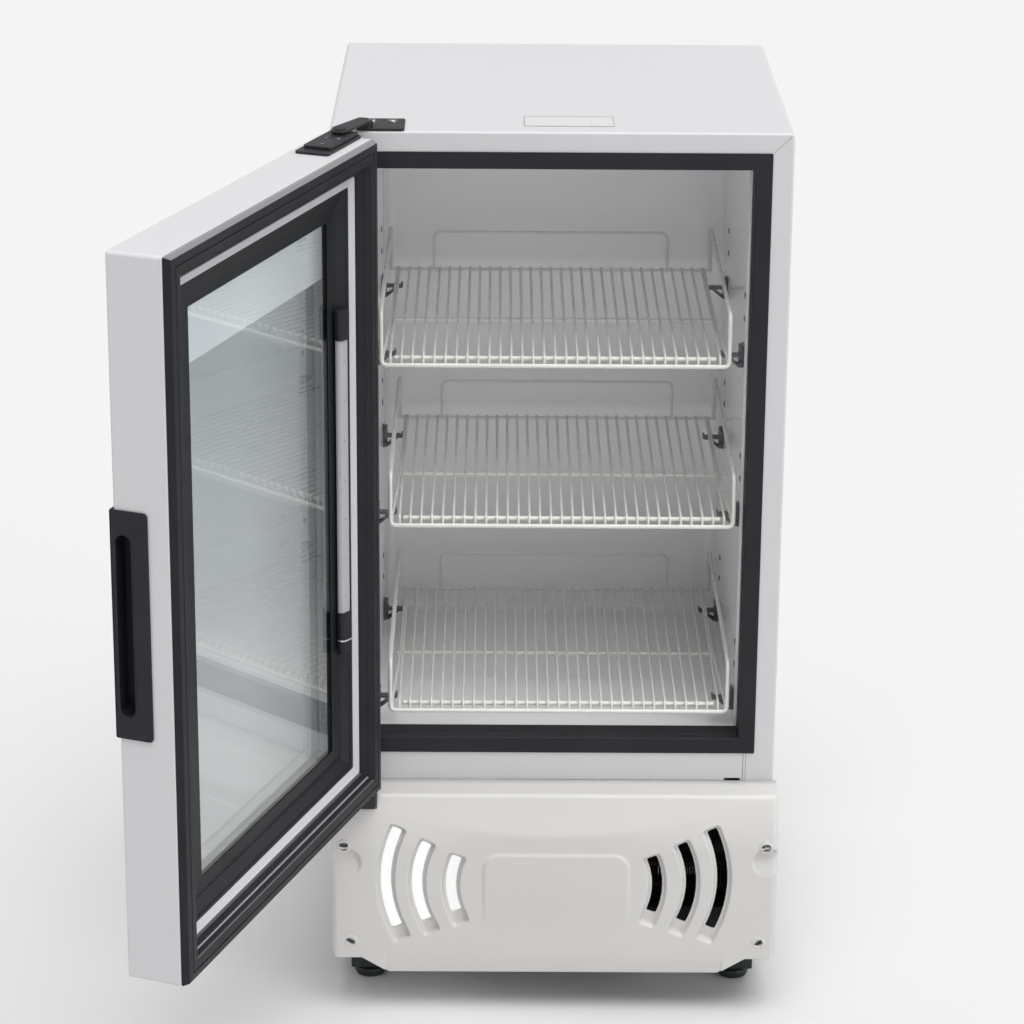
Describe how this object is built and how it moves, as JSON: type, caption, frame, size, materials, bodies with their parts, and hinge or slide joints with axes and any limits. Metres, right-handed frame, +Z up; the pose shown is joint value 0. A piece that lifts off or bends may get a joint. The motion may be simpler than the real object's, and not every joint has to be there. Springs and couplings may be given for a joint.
{
  "type": "reach-in refrigerator",
  "caption": "Compact reach-in refrigerator with a hinged double-glazed door standing open, wire shelves, a slotted machine-bay grille and levelling feet.",
  "frame": {"origin": "centre plane of the cabinet and middle of its depth, on the flat plateau pressed into the underside of the base pan, 50 mm above the floor", "axes": "+X to the right seen from the front, +Y towards the cabinet back, +Z up"},
  "size_m": [0.6633, 0.922, 0.993],
  "materials": {
    "white_paint": "satin pale grey-white enamel",
    "zinc_sheet": "galvanised, dull",
    "liner_plastic": "semi-gloss, light grey",
    "black_plastic": "satin black",
    "foam": "rigid polyurethane foam",
    "evaporator": "mill",
    "foot_plastic": "dark green-black",
    "white_plastic": "fine-grained moulding, warm white",
    "screw_steel": "zinc plated",
    "compressor_paint": "satin black enamel",
    "condenser_metal": "tarnished fins and tubes",
    "fan_metal": "pressed sheet",
    "copper": "drawn copper tube",
    "dark_steel": "dark satin coating",
    "gasket_rubber": "soft black magnetic gasket",
    "pale_trim": "pale grey",
    "clear_glass": "slightly green float glass",
    "spacer_metal": "mill",
    "pale_panel": "blank opal header",
    "light_diffuser": "opal",
    "handle_plastic": "fine-grained satin black",
    "coated_wire": "plastic-coated wire",
    "clip_plastic": "smoke grey"
  },
  "bodies": {
    "cabinet": {"cabinet_shell": "white_paint", "lower_front_rail": "white_paint", "box_floor_panel": "zinc_sheet", "back_panel": "zinc_sheet", "liner": "liner_plastic", "breaker_frame": "black_plastic", "insulation_foam": "foam", "evaporator_plate": "evaporator", "base_pan": "zinc_sheet", "front_grille": "white_plastic", "grille_screw_top_left": "screw_steel", "grille_screw_top_right": "screw_steel", "grille_screw_bottom_left": "screw_steel", "grille_screw_bottom_right": "screw_steel", "compressor": "compressor_paint", "condenser": "condenser_metal", "fan_shroud": "zinc_sheet", "fan_motor": "compressor_paint", "refrigerant_line": "copper", "drain_tray": "white_plastic", "thermostat_box": "black_plastic", "power_gland": "black_plastic", "top_hinge_bracket": "dark_steel", "bottom_hinge_bracket": "dark_steel", "shelf_top_clip_front_left": "clip_plastic", "shelf_top_clip_front_right": "clip_plastic", "shelf_top_clip_rear_left": "clip_plastic", "shelf_top_clip_rear_right": "clip_plastic", "shelf_middle_clip_front_left": "clip_plastic", "shelf_middle_clip_front_right": "clip_plastic", "shelf_middle_clip_rear_left": "clip_plastic", "shelf_middle_clip_rear_right": "clip_plastic", "shelf_bottom_clip_front_left": "clip_plastic", "shelf_bottom_clip_front_right": "clip_plastic", "shelf_bottom_clip_rear_left": "clip_plastic", "shelf_bottom_clip_rear_right": "clip_plastic"},
    "door": {"door_frame": "white_paint", "door_inner_frame": "black_plastic", "door_gasket": "gasket_rubber", "door_trim_strip": "pale_trim", "inner_glass": "clear_glass", "outer_glass": "clear_glass", "glass_spacer": "spacer_metal", "header_panel": "pale_panel", "led_strip": "light_diffuser", "led_cap_top": "black_plastic", "led_cap_bottom": "black_plastic", "door_handle": "handle_plastic", "door_hinge_plate_top": "dark_steel", "door_hinge_plate_bottom": "dark_steel"},
    "shelf_top": {"shelf_top": "coated_wire"},
    "shelf_middle": {"shelf_middle": "coated_wire"},
    "shelf_bottom": {"shelf_bottom": "coated_wire"},
    "foot_front_left": {"foot_front_left": "foot_plastic"},
    "foot_front_right": {"foot_front_right": "foot_plastic"},
    "foot_rear_left": {"foot_rear_left": "foot_plastic"},
    "foot_rear_right": {"foot_rear_right": "foot_plastic"},
    "condenser_fan": {"condenser_fan": "fan_metal"},
    "thermostat_knob": {"thermostat_knob": "black_plastic"}
  },
  "joints": [
    {"name": "door_swing", "type": "hinge", "parent": "cabinet", "child": "door", "pos_m": [-0.226, -0.257, 0.57], "axis": [0, 0, 1], "range_deg": [-9.28, 110.72]},
    {"name": "shelf_top_lift", "type": "slide", "parent": "cabinet", "child": "shelf_top", "axis": [0, 0, 1], "range_m": [0, 0.03]},
    {"name": "shelf_middle_lift", "type": "slide", "parent": "cabinet", "child": "shelf_middle", "axis": [0, 0, 1], "range_m": [0, 0.03]},
    {"name": "shelf_bottom_lift", "type": "slide", "parent": "cabinet", "child": "shelf_bottom", "axis": [0, 0, 1], "range_m": [0, 0.03]},
    {"name": "foot_front_left_turn", "type": "hinge", "parent": "cabinet", "child": "foot_front_left", "pos_m": [-0.204, -0.182, -0.03], "axis": [0, 0, 1], "continuous": true},
    {"name": "foot_front_right_turn", "type": "hinge", "parent": "cabinet", "child": "foot_front_right", "pos_m": [0.204, -0.182, -0.03], "axis": [0, 0, 1], "continuous": true},
    {"name": "foot_rear_left_turn", "type": "hinge", "parent": "cabinet", "child": "foot_rear_left", "pos_m": [-0.204, 0.182, -0.03], "axis": [0, 0, 1], "continuous": true},
    {"name": "foot_rear_right_turn", "type": "hinge", "parent": "cabinet", "child": "foot_rear_right", "pos_m": [0.204, 0.182, -0.03], "axis": [0, 0, 1], "continuous": true},
    {"name": "fan_spin", "type": "hinge", "parent": "cabinet", "child": "condenser_fan", "pos_m": [0.128, -0.131, 0.102], "axis": [0, 1, 0], "continuous": true},
    {"name": "thermostat_turn", "type": "hinge", "parent": "cabinet", "child": "thermostat_knob", "pos_m": [-0.16, 0.21, 0.142], "axis": [0, 1, 0], "range_deg": [-150, 150]}
  ]
}
